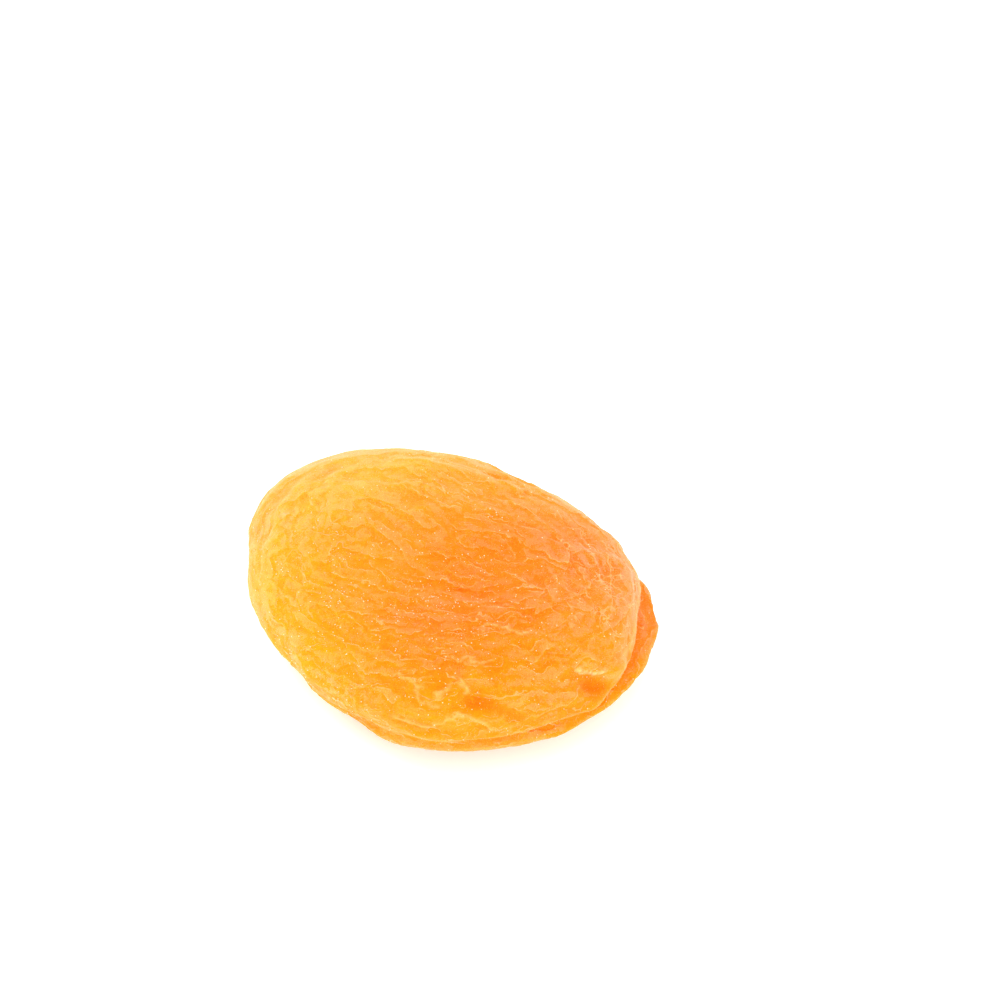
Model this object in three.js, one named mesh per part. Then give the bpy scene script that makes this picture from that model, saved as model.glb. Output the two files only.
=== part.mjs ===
// A whole dried apricot with its stone taken out: one soft, flattened fruit whose two halves meet in a seam
// round its side. Millimetres, +Z up. It lies on its underside, on a small flat spot at Z = 0. +X points to
// the stem end, where the stone came out and the lower half stands out beyond the upper one like a lip.
import * as THREE from 'three';
import { mergeVertices } from 'three/addons/utils/BufferGeometryUtils.js';

// The body: two pillows, one on the other, seen from above as an uneven oval.
const SEAM_HEIGHT = 4.6; // where the halves meet, above the surface that the fruit lies on
const UPPER_HEIGHT = 7.4; // from the seam to the top of the upper half
const LOWER_HEIGHT = 4.75; // from the seam down; what would pass below Z = 0 is pressed flat
const UPPER_PLUMPNESS = { across: 0.72, up: 0.9 }; // powers of sine and cosine: lower is squarer
const LOWER_PLUMPNESS = { across: 0.85, up: 0.95 };
// Distance from the middle to the side, every 30 degrees counter-clockwise from +X.
const OUTLINE_RADII = [18.3, 14.8, 13.9, 15.7, 18.7, 22.2, 19.8, 18, 18, 18.3, 18.5, 18.9];

// The seam is a groove that is deepest at the front, towards the stem end (angles are in degrees from +X),
// and shallowest opposite. It lies a little higher where it is deep. Where it is shallow the upper half
// stands out over the lower one.
const SEAM = {
  deepest: 0.7,
  shallowest: 0.12,
  deepestAt: -42,
  width: 0.55,
  wave: 0.2,
  tilt: 0.1,
  overhang: 0.5,
};

// The mouth at the stem end: the edge of the upper half is set back over the lower half, and the seam rises
// there and opens into a slot. The lip of the lower half stands out there, with a few waves along its edge.
const MOUTH = { at: -8, spread: 20, setBack: 1.4, rise: 0.5, edge: 0.5, slotDepth: 0.9, slotWidth: 0.6 };
const LIP = { at: 1, spread: 20, standOut: 0.45, height: 1.6, waviness: 0.25, waves: 22, waveTurn: -130 };

// Hollows and folds of the upper half. Their places are given on its skin as if it was peeled off and
// unrolled flat, with X and Y as in plan and distances from the top measured along the skin.
const HOLLOWS = [
  { name: 'dimple over the stone', at: [0.7, -2.5], size: [9, 5.5], depth: 1.3 },
  { name: 'pocket under the flap', at: [14.3, -13], size: [1.7, 1.0], depth: 1.3 },
  { name: 'hollow inside the front folds', at: [3.9, -16.9], size: [1.9, 1.0], depth: 0.6 },
];
const FOLDS = [
  {
    name: 'flap over the pocket',
    path: [[12.7, -11.5], [14.2, -11.8], [15.6, -11.2], [17, -9.8]],
    height: 0.85,
    width: 0.7,
  },
  {
    name: 'left front fold',
    path: [[-3.1, -15.6], [-1.6, -16.5], [0.6, -17.2], [1.7, -15.8], [2.6, -14.4]],
    height: 0.6,
    width: 0.7,
  },
  {
    name: 'right front fold',
    path: [[2.6, -14.4], [3.5, -15.6], [5.6, -16.3], [7.2, -16.1]],
    height: 0.5,
    width: 0.7,
  },
  {
    name: 'front rim fold',
    path: [[-3.5, -18.1], [1, -18.6], [2.9, -18], [6.7, -18.9]],
    height: 0.45,
    width: 0.7,
  },
  {
    name: 'outer left fold',
    path: [[-18, -3.7], [-17.4, -7], [-15.9, -10.5], [-14.2, -12.8]],
    height: 0.3,
    width: 0.85,
  },
  {
    name: 'inner left fold',
    path: [[-13.9, -1.8], [-14, -6.1], [-13, -10.3], [-11.3, -12.8]],
    height: 0.25,
    width: 0.85,
  },
  {
    name: 'back fold',
    path: [[-18.8, 4.7], [-16.4, 7.6], [-12.8, 9.4], [-6.9, 10.8], [-1.1, 10.3], [3.8, 9]],
    height: 0.25,
    width: 0.8,
  },
  {
    name: 'stem end fold',
    path: [[13, 1.4], [15.3, 1.8], [16.6, -3.5], [15.4, -9.2]],
    height: 0.35,
    width: 0.8,
  },
  {
    name: 'long front fold',
    path: [[-8.1, -11.1], [-3.3, -12.2], [0.3, -11.8], [7.5, -10.1], [11.3, -10.2]],
    height: 0.3,
    width: 0.7,
  },
  {
    name: 'short middle fold',
    path: [[-2, -6.9], [1.6, -7], [5.3, -7.5]],
    height: 0.22,
    width: 0.75,
  },
];

// Wrinkles: crests that follow the rim and run lengthwise in the middle, over a slower unevenness.
const WRINKLES = { seed: 11, wavelength: 5.2, height: 0.22, length: 2.8, width: 0.75 };
const RIPPLES = { seed: 23, wavelength: 3.4, height: 0.06, length: 1.4 };
const UNEVENNESS = { seed: 5, wavelength: 14, height: 0.18, length: 0 };
const PATCHINESS = { seed: 31, wavelength: 12, length: 0 }; // where the wrinkles are stronger or weaker
const MEAN_CREST = 1 / Math.sqrt(1 + 2 / WRINKLES.width ** 2); // of the bump of a field of waves
const WAVES_PER_FIELD = 64;
// The wrinkles circle two points this far out, one towards each end of the fruit, turned this much from X.
const GRAIN = { focus: 12, angle: -10, openness: 5 };
const FLAT_SPOT_FADE = 1.4; // the wrinkles die out over this height above the surface that it lies on

// The mesh: divisions of each edge of the starting icosahedron, and the finer rows at the seam.
const EDGE_DIVISIONS = 24;
const SEAM_FINENESS = { extra: 2.2, height: 1.6 };
const SECTION_STEPS = 720;

const SKIN = { color: 0xfb9c42, roughness: 0.5, metalness: 0 };

const radians = THREE.MathUtils.degToRad;
const { clamp, lerp, smoothstep } = THREE.MathUtils;
const STEM_FOCUS = new THREE.Vector3(GRAIN.focus, 0, 0);
STEM_FOCUS.applyAxisAngle(new THREE.Vector3(0, 0, 1), radians(GRAIN.angle));

// A smooth bump: 1 in its middle, falling off over its width.
function bump(distance, width) {
  return Math.exp(-((distance / width) ** 2));
}

// The angle from one direction to another, between -180 and 180 degrees, in radians.
function angleBetween(a, b) {
  return Math.atan2(Math.sin(a - b), Math.cos(a - b));
}

// The value at an angle of a closed ring of evenly spaced values, along a smooth curve through them.
function aroundRing(values, angle) {
  const turns = angle / (2 * Math.PI);
  const t = (turns - Math.floor(turns)) * values.length;
  const i = Math.floor(t);
  const f = t - i;
  const [a, b, c, d] = [-1, 0, 1, 2].map((k) => values[(i + k + values.length) % values.length]);
  return b + 0.5 * f * (c - a + f * (2 * a - 5 * b + 4 * c - d + f * (3 * (b - c) + d - a)));
}

// A point of the body's section: its share of the outline's radius, and its height. The angle runs from 0
// at the top over 90 degrees at the seam to 180 at the bottom.
function sectionPoint(angle) {
  const s = Math.max(Math.sin(angle), 0);
  const c = Math.cos(angle);
  if (c >= 0) {
    return { share: s ** UPPER_PLUMPNESS.across, z: SEAM_HEIGHT + UPPER_HEIGHT * c ** UPPER_PLUMPNESS.up };
  }
  return { share: s ** LOWER_PLUMPNESS.across, z: SEAM_HEIGHT - LOWER_HEIGHT * (-c) ** LOWER_PLUMPNESS.up };
}

// The section as a list of points, each with the share of the skin's area above it, so that the mesh can be
// spread evenly over the skin, and more finely at the seam. Unrolled is how much further from the top a
// point is along the skin than in plan.
function spreadSection() {
  const meanRadius = OUTLINE_RADII.reduce((sum, r) => sum + r, 0) / OUTLINE_RADII.length;
  const points = [];
  let area = 0;
  let length = 0;
  for (let i = 0; i <= SECTION_STEPS; i++) {
    const { share, z } = sectionPoint((Math.PI * i) / SECTION_STEPS);
    if (i > 0) {
      const last = points[i - 1];
      const step = Math.hypot((share - last.share) * meanRadius, z - last.z);
      const fineness = 1 + SEAM_FINENESS.extra * bump(z - SEAM_HEIGHT, SEAM_FINENESS.height);
      area += 0.5 * (share + last.share) * step * fineness;
      length += step;
    }
    points.push({ share, z, unrolled: length - share * meanRadius, area });
  }
  return points.map((point) => ({ ...point, area: point.area / area }));
}

// The section's point that has a given share of the area above it.
function sectionAt(points, area) {
  let low = 0;
  let high = points.length - 1;
  while (high - low > 1) {
    const middle = (low + high) >> 1;
    if (points[middle].area <= area) low = middle;
    else high = middle;
  }
  const [a, b] = [points[low], points[high]];
  const f = clamp((area - a.area) / (b.area - a.area), 0, 1);
  return {
    share: lerp(a.share, b.share, f),
    z: lerp(a.z, b.z, f),
    unrolled: lerp(a.unrolled, b.unrolled, f),
  };
}

// How near a direction is to the middle of a stretch of the side: 1 there, 0 away from it.
function nearness(around, { at, spread }) {
  return bump(angleBetween(around, radians(at)), radians(spread));
}

// How far round to the front a direction is: 1 where the seam is deepest, 0 opposite.
function frontShare(around) {
  return 0.5 + 0.5 * Math.cos(around - radians(SEAM.deepestAt));
}

// The skin without its wrinkles and folds.
function smoothPoint(around, share, z) {
  const mouth = nearness(around, MOUTH);
  const aboveLip = z - SEAM_HEIGHT - MOUTH.rise * mouth;
  const upper = smoothstep(aboveLip, -MOUTH.edge, MOUTH.edge);
  const wavy = LIP.standOut + LIP.waviness * Math.sin(LIP.waves * around + radians(LIP.waveTurn));
  const lip = wavy * nearness(around, LIP) * bump(aboveLip, LIP.height) * (1 - upper);
  const overhang = SEAM.overhang * (1 - frontShare(around)) * (upper - 0.5);
  const setBack = MOUTH.setBack * mouth * upper;
  const radius = share * (aroundRing(OUTLINE_RADII, around) + lip + overhang - setBack);
  return new THREE.Vector3(radius * Math.cos(around), radius * Math.sin(around), z);
}

// How deep the seam's groove is at a place on the smooth skin.
function seamDepth(around, z) {
  const mouth = nearness(around, MOUTH);
  const front = frontShare(around);
  const wave = SEAM.wave * (Math.sin(3 * around + 1) + 0.5 * Math.sin(7 * around));
  const tilt = SEAM.tilt * (2 * front - 1);
  const line = SEAM_HEIGHT + (1 - mouth) * (wave + tilt) + (MOUTH.rise + 0.1) * mouth;
  const groove = lerp(SEAM.shallowest, SEAM.deepest, front ** 2.5);
  return groove * bump(z - line, SEAM.width) + MOUTH.slotDepth * mouth * bump(z - line, MOUTH.slotWidth);
}

// A field of waves in seeded directions, which gives a number about 0 +- 1 at each point. With a length
// set, it is drawn out that far along the direction it is asked with.
function makeField({ seed, wavelength, length }) {
  let state = seed;
  const random = () => {
    state = (state * 1664525 + 1013904223) % 4294967296;
    return state / 4294967296;
  };
  const waves = [];
  for (let i = 0; i < WAVES_PER_FIELD; i++) {
    const z = 2 * random() - 1;
    const turn = 2 * Math.PI * random();
    const number = ((2 * Math.PI) / wavelength) * (0.75 + 0.6 * random());
    const flat = Math.sqrt(1 - z * z);
    const vector = new THREE.Vector3(flat * Math.cos(turn), flat * Math.sin(turn), z);
    vector.multiplyScalar(number);
    waves.push({ vector, phase: 2 * Math.PI * random() });
  }
  return (point, direction) => {
    let sum = 0;
    let power = 0;
    for (const { vector, phase } of waves) {
      const strength = Math.exp(-0.5 * (vector.dot(direction) * length) ** 2);
      sum += strength * Math.cos(vector.dot(point) + phase);
      power += strength ** 2;
    }
    return sum * Math.sqrt(2 / power);
  };
}

// The direction that the wrinkles follow at a point: along an ellipse round the fruit's two foci. Close to
// a focus it shrinks to nothing, and the wrinkles run every way.
function grain(point) {
  const flat = new THREE.Vector3(point.x, point.y, 0);
  const fromStem = flat.clone().sub(STEM_FOCUS);
  const fromTip = flat.clone().add(STEM_FOCUS);
  const [nearStem, nearTip] = [fromStem, fromTip].map((arm) => bump(arm.length(), GRAIN.openness));
  const along = fromTip.normalize().sub(fromStem.normalize()).normalize();
  return along.multiplyScalar((1 - nearStem) * (1 - nearTip));
}

// The smallest distance from a place in plan to a path.
function distanceToPath(x, y, path) {
  let nearest = Infinity;
  for (let i = 1; i < path.length; i++) {
    const [ax, ay] = path[i - 1];
    const [bx, by] = path[i];
    const [dx, dy] = [bx - ax, by - ay];
    const f = clamp(((x - ax) * dx + (y - ay) * dy) / (dx ** 2 + dy ** 2), 0, 1);
    nearest = Math.min(nearest, Math.hypot(x - ax - f * dx, y - ay - f * dy));
  }
  return nearest;
}

// The middle line of each fold, as many short straight pieces.
const smoothPaths = FOLDS.map(({ path }) => {
  const curve = new THREE.CatmullRomCurve3(path.map(([x, y]) => new THREE.Vector3(x, y, 0)));
  return curve.getPoints(8 * (path.length - 1)).map(({ x, y }) => [x, y]);
});

// The height of the folds less the depth of the hollows, at a place on the unrolled skin and its height.
function foldHeight(x, y, z) {
  let height = 0;
  FOLDS.forEach((fold, i) => {
    height += fold.height * bump(distanceToPath(x, y, smoothPaths[i]), fold.width);
  });
  for (const { at, size, depth } of HOLLOWS) {
    height -= depth * bump(Math.hypot((x - at[0]) / size[0], (y - at[1]) / size[1]), 1);
  }
  return height * smoothstep(z, SEAM_HEIGHT + 0.4, SEAM_HEIGHT + 1.2);
}

const wrinkles = makeField(WRINKLES);
const ripples = makeField(RIPPLES);
const unevenness = makeField(UNEVENNESS);
const patchiness = makeField(PATCHINESS);

// The height of the wrinkles above the mean skin.
function wrinkleHeight(point) {
  const direction = grain(point);
  const strength = clamp(1 + 0.35 * patchiness(point, direction), 0.4, 1.5);
  const crest = bump(wrinkles(point, direction), WRINKLES.width) - MEAN_CREST;
  const rough = strength * (WRINKLES.height * crest + RIPPLES.height * ripples(point, direction));
  return rough + UNEVENNESS.height * unevenness(point, direction);
}

function makeSkin() {
  const sphere = new THREE.IcosahedronGeometry(1, EDGE_DIVISIONS - 1);
  sphere.deleteAttribute('normal');
  sphere.deleteAttribute('uv');
  const skin = mergeVertices(sphere, 1e-4);
  const position = skin.attributes.position;
  const section = spreadSection();

  const point = new THREE.Vector3();
  const raised = []; // how far each point of the smooth skin moves out for the folds and hollows
  const seam = []; // and how far it moves in, level, for the seam
  for (let i = 0; i < position.count; i++) {
    point.fromBufferAttribute(position, i);
    const around = Math.atan2(point.y, point.x);
    const { share, z, unrolled } = sectionAt(section, 0.5 - 0.5 * point.z);
    point.copy(smoothPoint(around, share, z));
    position.setXYZ(i, point.x, point.y, point.z);
    const reach = Math.hypot(point.x, point.y) + unrolled;
    raised.push(foldHeight(reach * Math.cos(around), reach * Math.sin(around), z));
    const outward = new THREE.Vector3(Math.cos(around), Math.sin(around), 0);
    seam.push(outward.multiplyScalar(seamDepth(around, z)));
  }

  skin.computeVertexNormals();
  const normal = new THREE.Vector3();
  for (let i = 0; i < position.count; i++) {
    point.fromBufferAttribute(position, i);
    normal.fromBufferAttribute(skin.attributes.normal, i);
    const fade = smoothstep(point.z, 0, FLAT_SPOT_FADE);
    point.addScaledVector(normal, fade * wrinkleHeight(point) + raised[i]).sub(seam[i]);
    position.setXYZ(i, point.x, point.y, Math.max(point.z, 0));
  }
  skin.deleteAttribute('normal');

  skin.computeBoundingBox();
  const middle = skin.boundingBox.getCenter(new THREE.Vector3());
  return skin.translate(-middle.x, -middle.y, 0);
}

const body = new THREE.Mesh(makeSkin(), new THREE.MeshStandardMaterial(SKIN));
body.name = 'dried_apricot';
const fruit = new THREE.Group();
fruit.add(body);
export default fruit;
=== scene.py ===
import math

import bpy
import numpy as np
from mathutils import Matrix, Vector
from mathutils.kdtree import KDTree


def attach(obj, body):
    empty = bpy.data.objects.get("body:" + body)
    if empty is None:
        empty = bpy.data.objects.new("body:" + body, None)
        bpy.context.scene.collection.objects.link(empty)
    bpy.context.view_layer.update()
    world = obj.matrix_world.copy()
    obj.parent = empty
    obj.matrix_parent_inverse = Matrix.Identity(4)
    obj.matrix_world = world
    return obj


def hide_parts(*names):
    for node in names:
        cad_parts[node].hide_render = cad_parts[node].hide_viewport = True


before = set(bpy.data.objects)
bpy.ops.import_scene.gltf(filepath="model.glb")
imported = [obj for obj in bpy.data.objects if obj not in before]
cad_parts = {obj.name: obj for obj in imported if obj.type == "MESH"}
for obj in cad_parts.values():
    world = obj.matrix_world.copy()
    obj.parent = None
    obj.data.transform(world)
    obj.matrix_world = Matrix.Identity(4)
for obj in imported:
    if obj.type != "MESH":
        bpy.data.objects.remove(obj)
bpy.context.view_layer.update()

# Lengths and places are in millimetres and angles in degrees, unless a comment says otherwise. +X points to
# the stem end, -Y to the front and +Z up. Colours are linear.
MM = 0.001  # the scene is in metres
NODE = "dried_apricot"
WELD = 1e-4  # corners nearer than this are one
FAR = 1e3
SKIN_AREA = 2700.0  # of the whole fruit, mm2
HALF_PLAN = (20.0, 17.0)  # about half of its length and width

# The wrinkles follow ellipses round two points, one towards each end, as the larger ones of the solid do.
FOCUS = 12.0  # how far the two points are from the middle
FOCUS_TURN = -10.0  # of the line through them, from X
FOCUS_OPENNESS = 5.0  # nearer to a point than this, the wrinkles run every way
# Behind the middle they turn away from the ellipses.
BACK_TURN = {"at": (-4.0, 6.5), "size": 6.5, "angle": -40.0}

# Crumpled plates: cells of two kinds with sharp borders. Spacing is that of their middles, stretch is how
# much longer than wide they are along the wrinkles, and rise is how much higher their borders lie than their
# middles. Where plates of two kinds meet there is a crest with a step down to one side.
PLATES = [
    {"name": "plate_a", "seed": 61, "spacing": 2.1, "stretch": 2.2, "rise": 0.12},
    {"name": "plate_b", "seed": 62, "spacing": 1.3, "stretch": 1.9, "rise": -0.06},
]
PLATE_NEIGHBOURS = 14  # how many middles are tried for each point
PLATE_MIDDLE = 0.4  # how far a point is from the middle of its plate on the average, in spacings
PLATE_BORDER = {"width": 0.35, "inside": 0.4}  # width in spacings, and how far inside a border counts
# Long crests: their lines are where a field of waves is 0. Length is how far the waves are drawn out along
# the wrinkles.
LONG_CREST = {"name": "long_crest", "seed": 41, "wavelength": 3.6, "length": 3.2}
# The section of each crest.
CREST_FORMS = {
    "plate_a": {"width": 0.24, "height": 0.07, "step": 0.05},
    "plate_b": {"width": 0.2, "height": 0.04, "step": 0.03},
    "long_crest": {"width": 0.26, "height": 0.07, "step": 0.05},
}
CREST_MEAN = 0.3  # of that section, taken off so that the skin as a whole stays where it is
STEP_WIDTH = 0.15
LEAST_SLOPE = {"plates": 0.01, "waves": 0.001}  # squared, so that no line is far off where a field is level
CROSSING = (0.1, 0.6)  # how far a line crosses the wrinkles when it begins to fade, and when it is gone
# The lines and borders wander.
JITTERS = [{"seed": 100, "wavelength": 2.6, "reach": 0.18}, {"seed": 103, "wavelength": 0.8, "reach": 0.07}]
EDGE_JITTER = {"seed": 120, "wavelength": 1.1, "reach": 0.12}
GRIT = {"seed": 44, "wavelength": 0.75, "height": 0.01}
STRENGTH = {"seed": 7, "wavelength": 9.0, "reach": 0.3, "limits": (0.4, 1.5)}  # of the relief, by place
WAVES_PER_FIELD = 64
WAVE_SPREAD = (0.75, 1.35)  # of the number of waves to a length
FLOOR_FADE = 1.4  # the relief dies out over this height above the table

# A ramp is (axis, start, end, depth): it holds back what it is for by its depth at the start, and not at the
# end. The axis "rim" is 0 in the middle of the fruit and about 1 at its outline, and "light" grows to the
# left and the back, towards the key light.
# Where the small wrinkles are lower, each time by a share behind ramps.
CALM_PLACES = [
    {"name": "outline", "share": 0.6, "ramps": [("rim", 0.75, 0.95, 1), ("y", -10, -4, 0.6)]},
    {"name": "front rim", "share": 0.5, "ramps": [("y", -14.5, -16.5, 1)]},
]

# The folds of the solid are told from its round form by smoothing it this many rounds, after one division.
FOLD_ROUNDS = 15
FORM_ROUNDS = 60
FOLD_SHARPENING = 0.15  # how much higher the fine skin makes the folds of the upper half
FOLD_LIMIT = 0.2
UPPER_HALF = (5.2, 6.2)  # it begins between these heights

# The groove between the halves, and how much deeper its colour is painted: painted shade in the groove.
SEAM = {"z": 5.4, "width": 0.7, "blue": 0.75, "green": 0.1}
# Where the halves stick together, right of the gap in front: how much shallower the groove is, and the share
# of its painted shade that goes.
TOUCH = {"at": (14.6, -11.7, 5.5), "size": 1.5, "lift": 0.45, "cut": 0.8}
# The groove's painted shade also goes at the left of the front, from the first of these places along X to the
# next.
SEAM_LEFT = {"x": (7.0, 1.0), "cut": 0.8}

# Sharp crests, each along a path, painted pale as partly dry skin and partly painted highlight. Lift is how
# much higher the skin is there, and share is how pale it is.
DRY_AND_HIGHLIGHT_EDGES = [
    {
        "name": "lip of the flap",
        "path": [
            (12.8, -11.0, 8.8), (13.3, -11.0, 8.6), (13.9, -10.7, 8.15), (14.5, -10.55, 7.9),
            (15.05, -10.3, 8.0), (15.5, -10.0, 8.05),
        ],
        "width": 0.18, "lift": 0.12, "share": 1.3,
    },
    {
        "name": "upper edge of the mouth",
        "path": [
            (17.0, 5.0, 6.9), (17.8, 1.2, 6.75), (17.7, -2.7, 6.6), (17.6, -4.2, 6.55),
            (17.2, -6.2, 6.65), (16.7, -8.0, 6.9),
        ],
        "width": 0.35, "lift": 0.0, "share": 0.5,
    },
    {
        "name": "crest of the front rim",
        "path": [
            (-3.2, -16.6, 7.0), (-2.0, -16.9, 7.1), (-0.3, -17.2, 6.8), (0.7, -17.1, 7.4),
            (1.9, -16.8, 8.1), (3.0, -16.6, 8.1), (4.3, -16.6, 7.4), (5.5, -16.6, 6.4),
        ],
        "width": 0.15, "lift": 0.16, "share": 0.6,
    },
    {
        "name": "crest of the left front fold",
        "path": [
            (-3.5, -13.4, 9.4), (-2.0, -14.4, 9.7), (-1.2, -15.0, 9.5), (-1.4, -15.4, 8.8),
            (-0.5, -15.9, 8.6), (0.7, -16.2, 8.6),
        ],
        "width": 0.15, "lift": 0.12, "share": 0.5,
    },
    {
        "name": "crest of the middle front fold",
        "path": [
            (0.2, -15.7, 9.1), (1.3, -14.8, 9.4), (2.4, -13.9, 9.9), (2.7, -14.5, 9.9), (3.0, -14.9, 9.3),
        ],
        "width": 0.17, "lift": 0.15, "share": 0.5,
    },
    {
        "name": "crest above the front folds",
        "path": [
            (0.7, -11.7, 10.6), (1.9, -12.0, 10.5), (3.1, -11.9, 10.7), (4.2, -12.5, 10.5),
            (5.1, -11.8, 10.4),
        ],
        "width": 0.12, "lift": 0.1, "share": 0.5,
    },
    {
        "name": "crest in the middle",
        "path": [
            (3.9, -8.9, 11.2), (4.5, -8.1, 11.2), (5.5, -8.3, 11.2), (6.7, -8.8, 11.2), (7.8, -8.9, 11.0),
        ],
        "width": 0.14, "lift": 0.12, "share": 0.6,
    },
]
PATH_PLAY = 0.6  # how far above or below the skin a path may run

# The colour of the flesh is RED, a green that goes from the first to the second of GREEN as it gets more
# golden, and a blue that grows as it gets paler. COURSE is its broad course: how much more golden and how
# much paler each part is, behind its ramps.
RED = 0.98
GREEN = (0.186, 0.305)
GOLDEN_LIMITS = (-0.1, 1.3)
LIGHT_WAY = (-0.85, 0.5)  # the axis "light", by X and Y
COURSE = [
    {"name": "everywhere", "golden": 0.12, "blue": 0.013, "ramps": []},
    # The next two are more golden towards the key light, to the left and the back: partly the flesh's own
    # colour, partly painted light.
    {"name": "left and back", "golden": 0.8, "blue": 0, "ramps": [("light", -8, 17, 1)]},
    {"name": "far left", "golden": 0.08, "blue": 0, "ramps": [("light", 6, 17, 1)]},
    {"name": "outline", "golden": 0.42, "blue": 0, "ramps": [("rim", 0.45, 0.95, 1)]},
    # More golden at the front: painted light from the front.
    {"name": "front", "golden": 0.2, "blue": 0, "ramps": [("y", -12, -17, 1)]},
    {"name": "back half", "golden": 0.3, "blue": 0, "ramps": [("y", 2, 9, 1)]},
    {"name": "bloom of the back half", "golden": 0, "blue": 0.034, "ramps": [("y", -4, 9, 1)]},
    {"name": "left end", "golden": 0, "blue": 0.018, "ramps": [("x", -10, -15, 1), ("y", 9, 3, 1)]},
    # Paler along the back outline: painted sheen.
    {"name": "back outline", "golden": 0, "blue": 0.02, "ramps": [("rim", 0.85, 1, 1), ("y", -4, 4, 1)]},
    {"name": "mouth", "golden": 0, "blue": 0.012, "ramps": [("x", 13, 17, 1), ("y", -7, -2, 1)]},
    {
        "name": "stem end", "golden": 0, "blue": 0.034,
        "ramps": [("x", 6, 14, 1), ("y", -10, -2, 0.85), ("y", 5, 1, 0.8)],
    },
]
# Painted sheen: a pale band along the left of the upper half.
PAINTED_LEFT_SHEEN = {
    "z": 6.8, "width": 1.4, "golden": 0.3, "blue": 0.025,
    "ramps": [("x", -4, -9, 1), ("y", -1, -5, 1)],
}
# A pale band at the front, with a deeper orange round the front folds.
FRONT_BAND = {"y": (-11.0, -15.0), "blue": 0.015, "folds": (1.0, -15.0), "size": 4.0, "cut": 1.7}
# Below the seam the flesh is less pale; at the front it is painted paler and more golden, as painted bounce
# light.
LOWER_HALF = {"z": (5.0, 4.0), "front": (-12.0, -17.0), "cut": 0.5, "front_blue": 0.01, "front_green": 0.012}
# Places where the colour departs from this course: the middle in plan and the size, how much more golden it
# is, and how much paler.
TINTS = [
    {"name": "middle", "at": (2.2, -4.0), "size": 8.0, "golden": -0.25, "blue": 0.0},
    {"name": "near the stem end", "at": (11.0, -0.5), "size": 3.5, "golden": 0.17, "blue": 0.004},
    {"name": "behind the stem end", "at": (12.5, 5.5), "size": 3.0, "golden": -0.25, "blue": -0.008},
    {"name": "front folds", "at": (1.0, -14.5), "size": 4.0, "golden": -0.19, "blue": 0.0},
    {"name": "left front", "at": (-2.6, -8.0), "size": 3.0, "golden": 0.0, "blue": 0.011},
    {"name": "right front", "at": (8.6, -8.0), "size": 3.0, "golden": 0.0, "blue": 0.008},
    {"name": "above the gap in front", "at": (12.5, -13.0), "size": 2.5, "golden": 0.0, "blue": 0.012},
    {"name": "behind the middle", "at": (2.0, 7.0), "size": 7.0, "golden": 0.0, "blue": -0.01},
    {"name": "back", "at": (1.0, 14.0), "size": 4.5, "golden": -0.3, "blue": -0.008},
]
# Painted shade: hollows where the flesh is painted a deeper orange, with no pale veil.
SHADED_HOLLOWS = [
    {"name": "pocket under the flap", "at": (13.7, -10.9, 7.1), "size": 0.8},
    {"name": "gap between the halves in front", "at": (12.6, -13.4, 5.5), "size": 1.2},
    {"name": "hollow inside the front folds", "at": (3.9, -15.4, 8.4), "size": 1.2},
    {"name": "hollow left of the front folds", "at": (-2.4, -13.8, 9.6), "size": 0.6},
    {"name": "hollow above the front folds", "at": (0.6, -14.4, 9.6), "size": 0.8},
    {"name": "hollow right of the front folds", "at": (5.3, -12.6, 10.2), "size": 0.8},
    {"name": "hollow on the left", "at": (-4.8, -10.9, 10.1), "size": 0.5},
]
# Painted shade: how much of each it takes away in a hollow.
HOLLOW_SHADE = {"blue": 0.85, "green": 0.12, "veil": 1.5, "threads": 1.5}  # how much of each goes in a hollow
# Painted light and shade: how light the skin is painted, more on folds and small crests, less in hollows.
PAINTED_SHADING = {
    "fold": 0.02, "fold_height": 0.1, "hollow": 0.1, "hollow_depth": (0.1, 0.3),
    "small": 0.05, "small_height": 0.03, "small_rounds": 3,
}
# Where the thin pale veil of the skin lies: inside the plates, on crests and on folds, where it is partly a
# painted highlight, and not in hollows, where its lack is partly painted shade.
VEIL_AND_HIGHLIGHT = {
    "crest": 0.5, "crest_height": 0.025, "crest_rounds": 7, "inside": 0.5, "inside_mean": 0.75,
    "fold": 0.25, "fold_height": 0.1, "hollow": 0.8, "hollow_depth": (0.1, 0.25),
}
VEIL_WAVES = {"seed": 51, "wavelength": 0.9, "length": 0.6, "share": 0.3}
# How strong the veil is: more where the flesh is paler and towards the front, less at the back and on the
# front rim.
VEIL_STRENGTH = {"least": 0.013, "by_blue": 0.42, "front": 0.006, "front_y": (-2, -10)}
VEIL_RAMPS = [("y", 8, 0, 0.2), ("y", -16, -14, 0.45)]
THREADS = {"share": 0.75, "ramps": [("x", 8, 15, 1), ("z", 6.3, 7.3, 1), ("y", -9, -5, 0.7)]}

SUGAR_GRAINS = {"seed": 81, "count": 1000, "radius": (0.026, 0.074), "sunk": 0.6}
SUGAR_GROUPS = {"seed": 81, "wavelength": 4.0, "clustering": 0.7}
# Most of the sugar is in one long region, with a little everywhere. Grains are sunk in by a share of their
# radius, and lie in groups by seeded waves.
SUGAR_REGION = {"at": (-4.0, -7.0), "size": 9.0, "stretch": 1.5, "elsewhere": 0.12}
# Lean is how far the hairs lean about at random, and root is how deep they begin.
HAIRS = {"seed": 91, "count": 9000, "length": (0.08, 0.25), "radius": 0.01, "lean": 0.55, "root": 0.02}
BARE_BELOW = (1, 3)  # no sugar or down below the first height, all of it above the second


def colour(red, green, blue):
    return (red, green, blue, 1.0)


# Threads of dried skin, and thin crests that are partly dried skin and partly painted highlight.
DRY_AND_HIGHLIGHT = colour(1.0, 0.56, 0.22)  # thin crests and threads of dried skin
SUGAR = colour(1.0, 0.78, 0.5)
DOWN = colour(1.0, 0.75, 0.45)
SHEEN = colour(1.0, 0.93, 0.8)
WHITE = colour(1.0, 1.0, 1.0)

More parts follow.
